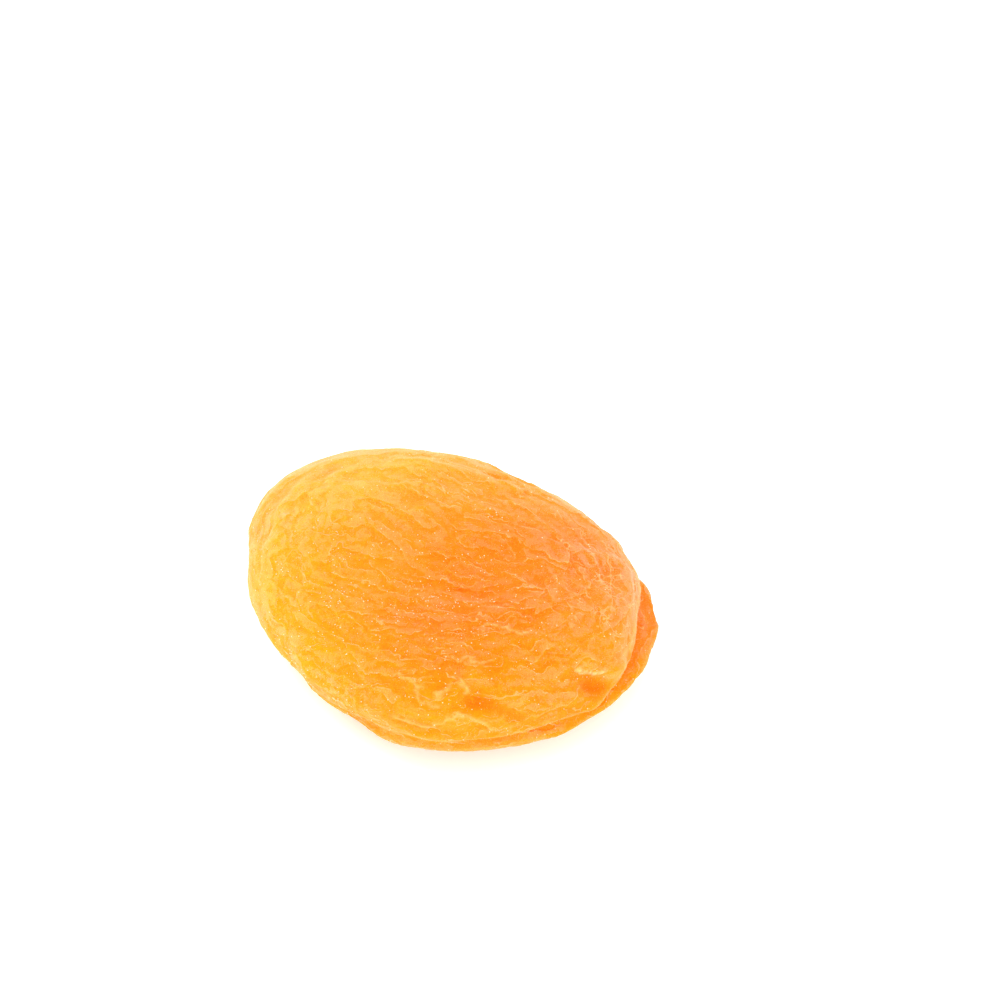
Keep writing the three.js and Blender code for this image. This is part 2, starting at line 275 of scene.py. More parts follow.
# The shader. Noise is given by the size of its grains, its detail and roughness, and, where it is about 0,
# how far it reaches to both sides. A pair of numbers says where something begins and where it is whole.
VEIL_BORDER = {"size": 0.3, "detail": 5, "rough": 0.85, "reach": 3.2}
VEIL_EDGE = (-0.6, 0.15)
VEIL_MEAN = 0.6  # taken off, so that the veil makes some places paler and others deeper
VEIL_CONTRAST = 1.9
SPECKLE = {"size": 0.11, "detail": 2, "rough": 0.8, "reach": 2.4}
SPECKLE_TONE = 0.25
LEAST_BLUE = 0.05  # the share of the blue that is left where there is no veil
PALE_GREEN = 0.8  # how much green the veil adds for each part of blue
# The thin pale line along a crest, partly dry skin and partly painted highlight, wanders and is broken up. A
# painted shadow on its lower side thins the veil.
LINE_WANDER = {"size": 0.25, "detail": 3, "rough": 0.6, "reach": 0.09}
LINE_WIDTH = 0.08
LINE_SHIFT = 0.1  # between the textures of one crest and the next, in metres
LINE_PATCHES = {"size": 1.3, "detail": 4, "rough": 0.6}
LINE_PRESENT = (0.42, 0.62)
LINE_GAPS = {"size": 0.1, "detail": 2}
LINE_GAP_EDGE = (0.25, 0.6)
# Painted shadow along the lower side of each crest line.
CREST_SHADOW_OUTER = (-0.5, -0.2)
CREST_SHADOW_INNER = (0.02, -0.05)
CREST_SHADOW_PRESENT = (0.3, 0.5)
CREST_SHADOW_WEIGHT = 1.3
# The threads at the stem end are the borders of bent cells.
THREAD_CELL = 1.1
THREAD_WIDTH = 0.06  # in cells
THREAD_BEND = {"size": 0.8, "detail": 3, "reach": 0.9}
THREAD_PATCHES = {"size": 1.3, "detail": 3}
THREAD_PRESENT = (0.48, 0.6)
# The named crests are torn.
TEAR = {"size": 0.4, "detail": 4, "rough": 0.75}
TEAR_EDGE = (0.3, 0.55)
# The dry lines and painted highlights cover the flesh by this share.
DRY_AND_HIGHLIGHT_SHARE = 0.8  # how far a dry line covers the flesh
# Bumps of the pores and of the dry and highlight lines, and the course of the gloss.
PORES = {"size": 0.16, "detail": 2}
DRY_AND_HIGHLIGHT_HEIGHT = 1.5  # of a dry line, in heights of the pores
BUMP = {"height": 0.06, "strength": 0.8}
GLOSS = {"size": 1.2, "roughness": (0.4, 0.6)}
PLAIN_PATCHES = 0.3  # of the sugar and the down
PALER = 1.1  # how much lighter they are there

# The camera looks at the fruit from this direction and distance. The picture is square.
AZIMUTH = 6.0  # round from the front, to the right
ELEVATION = 48.0  # above the table
DISTANCE = 400.0
LOOK_FROM = (0.0, 0.0, 6.0)  # the point that the camera's distance is measured from
PICTURE_SIZE = 1000.0  # pixels
PIXELS_PER_MM = 10.7  # at that point
FRUIT_PIXEL = (447.8, 591.8)  # where the point is in the picture, from its top left corner
SENSOR = 36.0
CLIP_START = 10.0

# Square lights, in metres and watts. From is the direction they shine from.
LIGHTS = [
    {"name": "key", "from": (-0.55, 0.3, 0.8), "distance": 0.8, "size": 0.6, "power": 3.4},
    {"name": "fill", "from": (0.35, -0.8, 0.45), "distance": 0.9, "size": 0.7, "power": 4.0},
]
STUDIO_LIGHT = 1.18
TABLE = {"radius": 1.6, "grey": 0.95, "glow": 0.25, "roughness": 0.7, "specular": 0.2}  # radius in metres


def bump(distance, width):
    """1 in the middle, falling off over the width."""
    return np.exp(-((distance / width) ** 2))


def ramp(x, start, end):
    """0 up to the start, 1 from the end on and smooth between. The end may also be below the start."""
    t = np.clip((x - start) / (end - start), 0, 1)
    return t * t * (3 - 2 * t)


def axes_of(points):
    """The values at each point that ramps run along."""
    x, y, z = points.T
    rim = np.hypot(x / HALF_PLAN[0], y / HALF_PLAN[1])
    return {"x": x, "y": y, "z": z, "rim": rim, "light": LIGHT_WAY[0] * x + LIGHT_WAY[1] * y}


def behind_ramps(ramps, axes):
    """The share of something that its ramps leave at each point."""
    share = 1.0
    for axis, start, end, depth in ramps:
        share = share * (1 - depth * (1 - ramp(axes[axis], start, end)))
    return share


def near_place(points, place):
    """1 at a place, falling off over its size. The place is given in plan or in space."""
    at = np.array(place["at"])
    return bump(np.linalg.norm(points[:, : len(at)] - at, axis=1), place["size"])


def distance_to_path(points, normals, path):
    """How far each point of the skin is from a line through the corners of a path that lies on the skin."""
    corners = np.array(path)
    nearest = np.full(len(points), FAR)
    for start, end in zip(corners[:-1], corners[1:]):
        along = end - start
        share = np.clip((points - start) @ along / (along @ along), 0, 1)
        away = points - start - share[:, None] * along
        outward = (away * normals).sum(axis=1)
        level = np.linalg.norm(away - outward[:, None] * normals, axis=1)
        nearest = np.minimum(nearest, np.hypot(level, np.maximum(np.abs(outward) - PATH_PLAY, 0)))
    return nearest


def read_mesh(node):
    """The points of a CAD node in millimetres, with those at one place made one, and its triangles."""
    mesh = node.data
    mesh.calc_loop_triangles()
    points = np.empty(3 * len(mesh.vertices))
    mesh.vertices.foreach_get("co", points)
    points = points.reshape(-1, 3) / MM
    corners = np.empty(3 * len(mesh.loop_triangles), np.int32)
    mesh.loop_triangles.foreach_get("vertices", corners)
    rounded = np.round(points / WELD).astype(np.int64)
    _, first, same = np.unique(rounded, axis=0, return_index=True, return_inverse=True)
    faces = same.reshape(-1)[corners].reshape(-1, 3)
    whole = (faces != np.roll(faces, 1, axis=1)).all(axis=1)
    return points[first], faces[whole]


def edges_of(faces):
    """Each edge once, and for each triangle which three edges it has."""
    ends = np.sort(faces[:, [[0, 1], [1, 2], [2, 0]]].reshape(-1, 2), axis=1)
    edges, which = np.unique(ends, axis=0, return_inverse=True)
    return edges, which.reshape(-1, 3)


def sum_at(index, values, count):
    """Adds up rows of values by index."""
    return np.stack([np.bincount(index, values[:, k], count) for k in range(values.shape[1])], axis=1)


def mean_of_neighbours(values, edges):
    """For each point, the mean of the values of the points that an edge joins it to."""
    columns = values.reshape(len(values), -1)
    total = sum_at(edges[:, 0], columns[edges[:, 1]], len(values))
    total += sum_at(edges[:, 1], columns[edges[:, 0]], len(values))
    count = np.bincount(edges.ravel(), minlength=len(values))
    return (total / count[:, None]).reshape(values.shape)


def smoothed(values, edges, rounds):
    for _ in range(rounds):
        values = mean_of_neighbours(values, edges)
    return values


def subdivide(points, faces):
    """One round of Loop subdivision, which makes four triangles of one and rounds them."""
    edges, which = edges_of(faces)
    opposite = sum_at(which.ravel(), points[faces[:, [2, 0, 1]].ravel()], len(edges))
    middles = 0.375 * (points[edges[:, 0]] + points[edges[:, 1]]) + 0.125 * opposite
    count = np.bincount(edges.ravel(), minlength=len(points))
    pull = count * (0.625 - (0.375 + 0.25 * np.cos(2 * np.pi / count)) ** 2) / count
    corners = points * (1 - pull)[:, None] + mean_of_neighbours(points, edges) * pull[:, None]
    a, b, c = faces.T
    ab, bc, ca = which.T + len(points)
    parts = [(a, ab, ca), (b, bc, ab), (c, ca, bc), (ab, bc, ca)]
    return np.concatenate([corners, middles]), np.concatenate([np.stack(part, axis=1) for part in parts])


def across_faces(points, faces):
    """For each triangle, the vector square to it that is twice as long as its area is large."""
    return np.cross(points[faces[:, 1]] - points[faces[:, 0]], points[faces[:, 2]] - points[faces[:, 0]])


def point_normals(points, faces):
    across = across_faces(points, faces)
    total = sum(sum_at(faces[:, k], across, len(points)) for k in range(3))
    return total / np.linalg.norm(total, axis=1)[:, None]


def wave_field(points, seed, wavelength, direction=None, length=0.0):
    """A field of waves in seeded directions, about 0 +- 1, drawn out by a length along a direction, and how
    fast it changes."""
    random = np.random.default_rng(seed)
    height = random.uniform(-1, 1, WAVES_PER_FIELD)
    turn = random.uniform(0, 2 * np.pi, WAVES_PER_FIELD)
    number = 2 * np.pi / wavelength * random.uniform(*WAVE_SPREAD, WAVES_PER_FIELD)
    flat = np.sqrt(1 - height**2)
    vectors = np.stack([flat * np.cos(turn), flat * np.sin(turn), height], axis=1) * number[:, None]
    phases = points @ vectors.T + random.uniform(0, 2 * np.pi, WAVES_PER_FIELD)
    strength = np.ones_like(phases)
    if direction is not None:
        strength = np.exp(-0.5 * (direction @ vectors.T * length) ** 2)
    strength *= np.sqrt(2 / (strength**2).sum(axis=1))[:, None]
    return (strength * np.cos(phases)).sum(axis=1), -(strength * np.sin(phases)) @ vectors


def wander(points, jitter):
    """How far seeded waves move each point."""
    shifts = [wave_field(points, jitter["seed"] + axis, jitter["wavelength"])[0] for axis in range(3)]
    return jitter["reach"] * np.stack(shifts, axis=1)


def grain(points):
    """The direction that the wrinkles follow at each point, shorter than 1 near a focus."""
    turn = math.radians(FOCUS_TURN)
    focus = FOCUS * np.array([math.cos(turn), math.sin(turn), 0])
    flat = points * np.array([1, 1, 0])
    arms = [flat + focus, flat - focus]
    lengths = [np.linalg.norm(arm, axis=1)[:, None] for arm in arms]
    along = arms[0] / (lengths[0] + 1e-9) - arms[1] / (lengths[1] + 1e-9)
    clear = (1 - bump(lengths[0], FOCUS_OPENNESS)) * (1 - bump(lengths[1], FOCUS_OPENNESS))
    x, y, z = (along / (np.linalg.norm(along, axis=1)[:, None] + 1e-9) * clear).T
    angle = math.radians(BACK_TURN["angle"]) * near_place(points, BACK_TURN)
    return np.stack([np.cos(angle) * x - np.sin(angle) * y, np.sin(angle) * x + np.cos(angle) * y, z], axis=1)


def plates(points, direction, seed, spacing, stretch):
    """For each point, its distance from the border between plates of two kinds, which is negative on one
    side, the way across that border, the distance from the middle of its plate, and how much further the next
    middle is."""
    random = np.random.default_rng(seed)
    count = int(SKIN_AREA / spacing**2)
    middles = points[random.choice(len(points), count, replace=False)]
    kinds = random.integers(0, 2, count)
    tree = KDTree(count)
    for i, middle in enumerate(middles):
        tree.insert(middle, i)
    tree.balance()
    near = np.array([[found[1] for found in tree.find_n(point, PLATE_NEIGHBOURS)] for point in points])
    away = points[:, None, :] - middles[near]
    along = (away * direction[:, None, :]).sum(axis=2)
    scaled = away - (1 - 1 / stretch**2) * along[:, :, None] * direction[:, None, :]
    distances = np.sqrt((away * scaled).sum(axis=2))
    rows = np.arange(len(points))
    value = 0
    slope = 0
    for kind, sign in ((0, -1), (1, 1)):
        nearest = np.where(kinds[near] == kind, distances, FAR).argmin(axis=1)
        distance = distances[rows, nearest]
        value += sign * distance
        slope += sign * scaled[rows, nearest] / distance[:, None].clip(1e-6)
    distances.sort(axis=1)
    line = value / np.sqrt((slope**2).sum(axis=1) + LEAST_SLOPE["plates"])
    return line, slope, distances[:, 0], distances[:, 1] - distances[:, 0]


def lie_along(across, direction):
    """1 where a line runs along the wrinkles and less where it crosses them."""
    share = (across * direction).sum(axis=1) ** 2 / ((across**2).sum(axis=1) + 1e-9)
    return 1 - ramp(share, *CROSSING)


def fine_relief(points, normals):
    """The height of the small wrinkles at each point, how far it is from each crest's line, how clear that
    line is there, and how far the point is inside its plates, up to 1."""
    direction = grain(points)
    shaken = points
    for jitter in JITTERS:
        shaken = shaken + wander(points, jitter)
    strength = 1 + STRENGTH["reach"] * wave_field(points, STRENGTH["seed"], STRENGTH["wavelength"])[0]
    strength = np.clip(strength, *STRENGTH["limits"]) * ramp(points[:, 2], 0, FLOOR_FADE)
    height = GRIT["height"] * wave_field(points, GRIT["seed"], GRIT["wavelength"])[0]
    lines = {}
    clear = {}
    inside = np.ones(len(points))
    for plate in PLATES:
        spacing = plate["spacing"]
        line, across, middle, further = plates(shaken, direction, plate["seed"], spacing, plate["stretch"])
        height += plate["rise"] * (middle / spacing - PLATE_MIDDLE)
        least = PLATE_BORDER["inside"]
        inside *= least + (1 - least) * ramp(further / spacing, 0.0, PLATE_BORDER["width"])
        lines[plate["name"]] = line
        clear[plate["name"]] = lie_along(across, direction)
    value, slope = wave_field(
        shaken, LONG_CREST["seed"], LONG_CREST["wavelength"], direction, LONG_CREST["length"]
    )
    slope -= normals * (slope * normals).sum(axis=1)[:, None]
    lines[LONG_CREST["name"]] = value / np.sqrt((slope**2).sum(axis=1) + LEAST_SLOPE["waves"])
    clear[LONG_CREST["name"]] = lie_along(slope, direction)
    for name, form in CREST_FORMS.items():
        height += form["height"] * (bump(lines[name], form["width"]) - CREST_MEAN) * clear[name]
        height += form["step"] * np.tanh(lines[name] / STEP_WIDTH)
    return height * strength, lines, clear, inside


def stand_out(points, faces):
    """How far each point stands out as part of a fold, above 0, or lies in a hollow, below 0."""
    edges, _ = edges_of(faces)
    level = smoothed(points, edges, FOLD_ROUNDS)
    form = smoothed(level, edges, FORM_ROUNDS - FOLD_ROUNDS)
    share = FOLD_ROUNDS / (FORM_ROUNDS - FOLD_ROUNDS)
    return ((points - level - share * (level - form)) * point_normals(points, faces)).sum(axis=1)


def smooth_form():
    """The solid divided twice: its points and triangles, and how far each point stands out."""
    points, faces = subdivide(*read_mesh(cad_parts[NODE]))
    columns, faces = subdivide(np.column_stack([points, stand_out(points, faces)]), faces)
    return columns[:, :3], faces, columns[:, 3]


def veil_and_highlight_level(points, links, height, inside, fold):
    """How much of the pale veil each place has, about 0 +- 1, partly a painted highlight on crests and folds.
    """
    # The veil is partly a painted highlight on small crests and folds, and missing as painted shade in
    # hollows.
    small = height - smoothed(height, links, VEIL_AND_HIGHLIGHT["crest_rounds"])
    level = VEIL_AND_HIGHLIGHT["crest"] * np.tanh(small / VEIL_AND_HIGHLIGHT["crest_height"])
    level += VEIL_AND_HIGHLIGHT["inside"] * (inside - VEIL_AND_HIGHLIGHT["inside_mean"])
    waves, _ = wave_field(
        points, VEIL_WAVES["seed"], VEIL_WAVES["wavelength"], grain(points), VEIL_WAVES["length"]
    )
    level += VEIL_WAVES["share"] * waves
    level += VEIL_AND_HIGHLIGHT["fold"] * np.tanh(fold / VEIL_AND_HIGHLIGHT["fold_height"])
    return level - VEIL_AND_HIGHLIGHT["hollow"] * ramp(-fold, *VEIL_AND_HIGHLIGHT["hollow_depth"])


def skin_height(points, normals, height, fold, touch):
    """The whole height of the fine skin over the smooth form, and how pale it is painted along the named
    crests, as dry skin and painted highlight.
    """
    axes = axes_of(points)
    for calm in CALM_PLACES:
        height = height * (1 - calm["share"] * behind_ramps(calm["ramps"], axes))
    bent = points + wander(points, EDGE_JITTER)
    dryness_and_highlight = np.zeros(len(points))
    # Along the named crests the skin is lifted and painted pale: partly dry skin, partly painted highlight.
    for edge in DRY_AND_HIGHLIGHT_EDGES:
        near = bump(distance_to_path(bent, normals, edge["path"]), edge["width"])
        dryness_and_highlight += edge["share"] * near
        height = height + edge["lift"] * near
    height = height + TOUCH["lift"] * touch * bump(points[:, 2] - SEAM["z"], SEAM["width"])
    sharper = ramp(points[:, 2], *UPPER_HALF) * np.clip(FOLD_SHARPENING * fold, -FOLD_LIMIT, FOLD_LIMIT)
    return height + sharper, dryness_and_highlight


def flesh_colour(points, touch, hollow_shade):
    """The green and blue of the flesh, with painted light, sheen and shade in places."""
    x, y, z = points.T
    axes = axes_of(points)
    golden = 0
    blue = 0
    for part in COURSE:
        share = behind_ramps(part["ramps"], axes)
        golden += part["golden"] * share
        blue += part["blue"] * share
    # Painted sheen along the left outline.
    left_sheen = bump(z - PAINTED_LEFT_SHEEN["z"], PAINTED_LEFT_SHEEN["width"]) * behind_ramps(PAINTED_LEFT_SHEEN["ramps"], axes)
    golden = np.clip(golden + PAINTED_LEFT_SHEEN["golden"] * left_sheen, *GOLDEN_LIMITS)
    blue += PAINTED_LEFT_SHEEN["blue"] * left_sheen
    for tint in TINTS:
        near = near_place(points, tint)
        golden += tint["golden"] * near
        blue += tint["blue"] * near
    green = GREEN[0] + (GREEN[1] - GREEN[0]) * np.clip(golden, *GOLDEN_LIMITS)

    low = ramp(z, *LOWER_HALF["z"])
    front = ramp(y, *LOWER_HALF["front"])
    folds = near_place(points, {"at": FRONT_BAND["folds"], "size": FRONT_BAND["size"]})
    blue += FRONT_BAND["blue"] * ramp(y, *FRONT_BAND["y"]) * (1 - FRONT_BAND["cut"] * folds * (1 - low))
    blue *= 1 - LOWER_HALF["cut"] * low * (1 - front)
    # Painted bounce light at the front of the lower half.
    blue += LOWER_HALF["front_blue"] * front * low
    green += LOWER_HALF["front_green"] * front * low

    # Painted shade in the groove between the halves and in the hollows.
    groove_shade = bump(z - SEAM["z"], SEAM["width"]) * (1 - TOUCH["cut"] * touch)
    groove_shade *= 1 - SEAM_LEFT["cut"] * front * ramp(x, *SEAM_LEFT["x"])
    blue *= (1 - SEAM["blue"] * groove_shade) * (1 - HOLLOW_SHADE["blue"] * hollow_shade)
    green *= (1 - SEAM["green"] * groove_shade) * (1 - HOLLOW_SHADE["green"] * hollow_shade)
    return green, blue


def painted_fold_shading(fold, small):
    """Painted highlight on folds and small crests, and painted shade in hollows."""
    painted_shading = PAINTED_SHADING["fold"] * np.tanh(fold / PAINTED_SHADING["fold_height"])
    painted_shading -= PAINTED_SHADING["hollow"] * ramp(-fold, *PAINTED_SHADING["hollow_depth"])
    return painted_shading + PAINTED_SHADING["small"] * np.tanh(small / PAINTED_SHADING["small_height"])


def new_mesh(name, points, faces):
    """A mesh object in metres from points in millimetres and triangles."""
    mesh = bpy.data.meshes.new(name)
    mesh.vertices.add(len(points))
    mesh.vertices.foreach_set("co", (points * MM).ravel())
    mesh.loops.add(faces.size)
    mesh.loops.foreach_set("vertex_index", faces.ravel())
    mesh.polygons.add(len(faces))
    mesh.polygons.foreach_set("loop_start", np.arange(0, faces.size, 3))
    mesh.update(calc_edges=True)
    mesh.validate()
    piece = bpy.data.objects.new(name, mesh)
    bpy.context.scene.collection.objects.link(piece)
    return piece


def set_attribute(piece, name, values):
    attribute = piece.data.attributes.new(name, "FLOAT", "POINT")
    attribute.data.foreach_set("value", values.astype(np.float32))


class Nodes:
    """A few short ways to build a material's node tree."""

    def __init__(self, name):
        self.material = bpy.data.materials.new(name)
        self.material.use_nodes = True
        self.tree = self.material.node_tree
        self.shader = self.tree.nodes["Principled BSDF"]

    def set_shader(self, **values):
        """Sets plain values on the shader, by the names of its inputs with _ for a space."""
        for name, value in values.items():
            self.shader.inputs[name.replace("_", " ")].default_value = value

    def add(self, kind, **settings):
        node = self.tree.nodes.new(kind)
        for key, value in settings.items():
            setattr(node, key, value)
        return node

    def put(self, socket, value):
        """Links an output to the socket or sets a plain value on it."""
        if isinstance(value, bpy.types.NodeSocket):
            self.tree.links.new(value, socket)
        else:
            socket.default_value = value

    def math(self, operation, a, b=0.0):
        node = self.add("ShaderNodeMath", operation=operation)
        self.put(node.inputs[0], a)
        self.put(node.inputs[1], b)
        return node.outputs[0]

    def plus(self, a, b):
        return self.math("ADD", a, b)

    def minus(self, a, b):
        return self.math("SUBTRACT", a, b)

    def times(self, a, b):
        return self.math("MULTIPLY", a, b)

    def larger(self, a, b):
        return self.math("MAXIMUM", a, b)

    def ramp(self, value, low, high):
        """0 below low, 1 above high and smooth between."""
        node = self.add("ShaderNodeMapRange", interpolation_type="SMOOTHSTEP")
        self.put(node.inputs["Value"], value)
        node.inputs["From Min"].default_value = low
        node.inputs["From Max"].default_value = high
        return node.outputs["Result"]

    def between(self, value, low, high):
        """A 0 to 1 value as one from low to high."""
        node = self.add("ShaderNodeMapRange")
        self.put(node.inputs["Value"], value)
        node.inputs["To Min"].default_value = low
        node.inputs["To Max"].default_value = high
        return node.outputs["Result"]

    def mix(self, share, a, b):
        """The colour a where the share is 0 and b where it is 1."""
        node = self.add("ShaderNodeMix", data_type="RGBA")
        self.put(node.inputs[0], share)
        self.put(node.inputs[6], a)
        self.put(node.inputs[7], b)
        return node.outputs[2]

    def attribute(self, name):
        return self.add("ShaderNodeAttribute", attribute_name=name).outputs["Fac"]

    def place(self):
        return self.add("ShaderNodeTexCoord").outputs["Object"]

    def moved(self, place, distance):
        """The same place, shifted by metres, so that a texture there shows another part of itself."""
        node = self.add("ShaderNodeVectorMath", operation="ADD")
        self.put(node.inputs[0], place)
        node.inputs[1].default_value = (distance, distance, 0)
        return node.outputs[0]

    def texture(self, kind, place, size, **settings):
        node = self.add(kind, **settings)
        self.put(node.inputs["Vector"], place)
        node.inputs["Scale"].default_value = 1 / (size * MM)
        return node

    def noise(self, place, size, detail=3.0, rough=0.5):
        """Noise of a grain size, from 0 to 1."""
        node = self.texture("ShaderNodeTexNoise", place, size)
        node.inputs["Detail"].default_value = detail
        node.inputs["Roughness"].default_value = rough
        return node.outputs["Fac"]

    def noise_about_zero(self, place, size, detail, rough, reach):
        return self.times(self.minus(self.noise(place, size, detail, rough), 0.5), 2 * reach)

    def relief(self, share, height, strength):
        """Fine bumps for the shader, as high as the share, from 0 to 1, of a height."""
        node = self.add("ShaderNodeBump")
        node.inputs["Distance"].default_value = height * MM
        node.inputs["Strength"].default_value = strength
        self.put(node.inputs["Height"], share)
        self.put(self.shader.inputs["Normal"], node.outputs["Normal"])


def crest_line(nodes, place, crest, shift):
    """A thin broken line along a crest, partly dry skin and partly painted highlight, and a painted shadow
    along its lower side.
    """
    here = nodes.moved(place, shift)
    away = nodes.plus(nodes.attribute(crest), nodes.noise_about_zero(here, **LINE_WANDER))
    thin = nodes.minus(1.0, nodes.ramp(nodes.math("ABSOLUTE", away), 0.0, LINE_WIDTH))
    crest_shadow = nodes.times(nodes.ramp(away, *CREST_SHADOW_OUTER), nodes.ramp(away, *CREST_SHADOW_INNER))
    where = nodes.times(nodes.noise(here, **LINE_PATCHES), nodes.attribute(crest + "_clear"))
    broken = nodes.ramp(nodes.noise(place, **LINE_GAPS), *LINE_GAP_EDGE)
    line = nodes.times(nodes.times(thin, broken), nodes.ramp(where, *LINE_PRESENT))
    return line, nodes.times(crest_shadow, nodes.ramp(where, *CREST_SHADOW_PRESENT))


def stem_threads(nodes, place):
    """A fine net of dry threads round the stem end."""
    bend = nodes.texture("ShaderNodeTexNoise", place, THREAD_BEND["size"])
    bend.inputs["Detail"].default_value = THREAD_BEND["detail"]
    bent = nodes.add("ShaderNodeVectorMath", operation="MULTIPLY_ADD")
    nodes.put(bent.inputs[0], bend.outputs["Color"])
    bent.inputs[1].default_value = (THREAD_BEND["reach"] * MM,) * 3
    nodes.put(bent.inputs[2], place)
    net = nodes.texture("ShaderNodeTexVoronoi", bent.outputs[0], THREAD_CELL, feature="DISTANCE_TO_EDGE")
    thin = nodes.minus(1.0, nodes.ramp(net.outputs["Distance"], 0.0, THREAD_WIDTH))
    broken = nodes.ramp(nodes.noise(place, **THREAD_PATCHES), *THREAD_PRESENT)
    return nodes.times(nodes.times(thin, broken), nodes.attribute("threads"))


def dry_and_highlight_lines(nodes, place):
    """Where the skin has thin dry lines, which along the crests are partly painted highlight, and where it
    has painted shadows beside them.
    """
    torn = nodes.ramp(nodes.noise(place, **TEAR), *TEAR_EDGE)
    dry_and_highlight = nodes.larger(stem_threads(nodes, place), nodes.times(nodes.attribute("edges"), torn))
    crest_shadows = 0.0
    for k, crest in enumerate(CREST_FORMS):
        line, crest_shadow = crest_line(nodes, place, crest, LINE_SHIFT * (k + 1))
        dry_and_highlight = nodes.larger(dry_and_highlight, line)
        crest_shadows = nodes.larger(crest_shadows, crest_shadow)
    return dry_and_highlight, crest_shadows


def veiled_flesh(nodes, place, crest_shadows):
    """The colour of the flesh under its pale veil, which has ragged borders and fine speckles, and is partly
    painted light and shade.
    """
    level = nodes.plus(nodes.attribute("level"), nodes.noise_about_zero(place, **VEIL_BORDER))
    # The painted shadow beside the crest lines takes the pale veil away.
    level = nodes.minus(level, nodes.times(crest_shadows, CREST_SHADOW_WEIGHT))
    veil = nodes.minus(nodes.ramp(level, *VEIL_EDGE), VEIL_MEAN)
    speckle = nodes.noise_about_zero(place, **SPECKLE)
    bloom = nodes.plus(nodes.times(veil, VEIL_CONTRAST), speckle)
    pale = nodes.times(nodes.attribute("pale"), bloom)
    pale = nodes.larger(pale, nodes.times(nodes.attribute("blue"), LEAST_BLUE - 1))
    # Painted shading of the folds, crests and hollows, with a random speckle added.
    painted_shading = nodes.plus(nodes.attribute("painted_shading"), nodes.times(speckle, SPECKLE_TONE))
    green = nodes.times(nodes.attribute("green"), nodes.plus(painted_shading, 1.0))
    flesh = nodes.add("ShaderNodeCombineColor")
    flesh.inputs["Red"].default_value = RED
    nodes.put(flesh.inputs["Green"], nodes.plus(green, nodes.times(pale, PALE_GREEN)))
    nodes.put(flesh.inputs["Blue"], nodes.plus(nodes.attribute("blue"), pale))
    return flesh.outputs[0]


def skin_material():
    nodes = Nodes("apricot_skin")
    place = nodes.place()
    dry_and_highlight, crest_shadows = dry_and_highlight_lines(nodes, place)
    flesh = veiled_flesh(nodes, place, crest_shadows)
    nodes.put(nodes.shader.inputs["Base Color"], nodes.mix(nodes.times(dry_and_highlight, DRY_AND_HIGHLIGHT_SHARE), flesh, DRY_AND_HIGHLIGHT))
    nodes.relief(nodes.plus(nodes.noise(place, **PORES), nodes.times(dry_and_highlight, DRY_AND_HIGHLIGHT_HEIGHT)), **BUMP)
    roughness = nodes.between(nodes.noise(place, GLOSS["size"]), *GLOSS["roughness"])
    nodes.put(nodes.shader.inputs["Roughness"], roughness)
    nodes.set_shader(
        Specular_IOR_Level=0.05,
        Subsurface_Weight=0.6,
        Subsurface_Radius=(1.0, 0.4, 0.1),
        Subsurface_Scale=0.38 * MM,
        Sheen_Weight=0.25,
        Sheen_Roughness=0.4,
        Sheen_Tint=SHEEN,
    )
    return nodes.material


def plain_material(name, base, roughness, translucency):
    nodes = Nodes(name)
    paler = tuple(min(1.0, PALER * channel) for channel in base)
    patches = nodes.noise(nodes.place(), PLAIN_PATCHES)
    nodes.put(nodes.shader.inputs["Base Color"], nodes.mix(patches, base, paler))
    nodes.set_shader(
        Roughness=roughness,
        Subsurface_Weight=translucency,
        Subsurface_Radius=(1.0, 0.7, 0.5),
        Subsurface_Scale=0.1 * MM,
    )
    return nodes.material


def make_skin():
    points, faces, fold = smooth_form()
    normals = point_normals(points, faces)
    links, _ = edges_of(faces)
    relief, lines, clear, inside = fine_relief(points, normals)
    level = veil_and_highlight_level(points, links, relief, inside, fold)
    touch = near_place(points, TOUCH)
    height, dryness_and_highlight = skin_height(points, normals, relief, fold, touch)
    points = points + normals * height[:, None]
    points[:, 2] = np.maximum(points[:, 2], 0)

    normals = point_normals(points, faces)
    axes = axes_of(points)
    # How far each point stands above its neighbours, for the painted highlight on small crests.
    small = ((points - smoothed(points, links, PAINTED_SHADING["small_rounds"])) * normals).sum(axis=1)
    # Painted shade in the hollows.
    hollow_shade = sum(near_place(points, hollow) for hollow in SHADED_HOLLOWS)
    green, blue = flesh_colour(points, touch, hollow_shade)
    pale = VEIL_STRENGTH["least"] + VEIL_STRENGTH["by_blue"] * blue
    pale += VEIL_STRENGTH["front"] * ramp(axes["y"], *VEIL_STRENGTH["front_y"])
    threads = THREADS["share"] * behind_ramps(THREADS["ramps"], axes)
    values = {
        "painted_shading": painted_fold_shading(fold, small),
        "green": green,
        "blue": blue,
        "level": level - HOLLOW_SHADE["veil"] * hollow_shade,
        "pale": pale * behind_ramps(VEIL_RAMPS, axes),
        "edges": dryness_and_highlight,
        "threads": threads * (1 - np.minimum(HOLLOW_SHADE["threads"] * hollow_shade, 1)),
    }
    for name, line in lines.items():
        values[name] = line
        values[name + "_clear"] = clear[name]

    piece = new_mesh("apricot_skin", points, faces)
    piece.data.shade_smooth()
    for name, value in values.items():
        set_attribute(piece, name, value)
    piece.data.materials.append(skin_material())
    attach(piece, "root")
    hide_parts(NODE)
    return points, faces, normals


def random_places(points, faces, normals, random, count, weight):
    """Random points of the skin and the normals there, more of them where the weight of a point is high."""
    chance = np.linalg.norm(across_faces(points, faces), axis=1) * weight[faces].mean(axis=1)
    chosen = faces[random.choice(len(faces), count, p=chance / chance.sum())]
    share = random.dirichlet([1, 1, 1], count)[:, :, None]
    return (points[chosen] * share).sum(axis=1), (normals[chosen] * share).sum(axis=1)


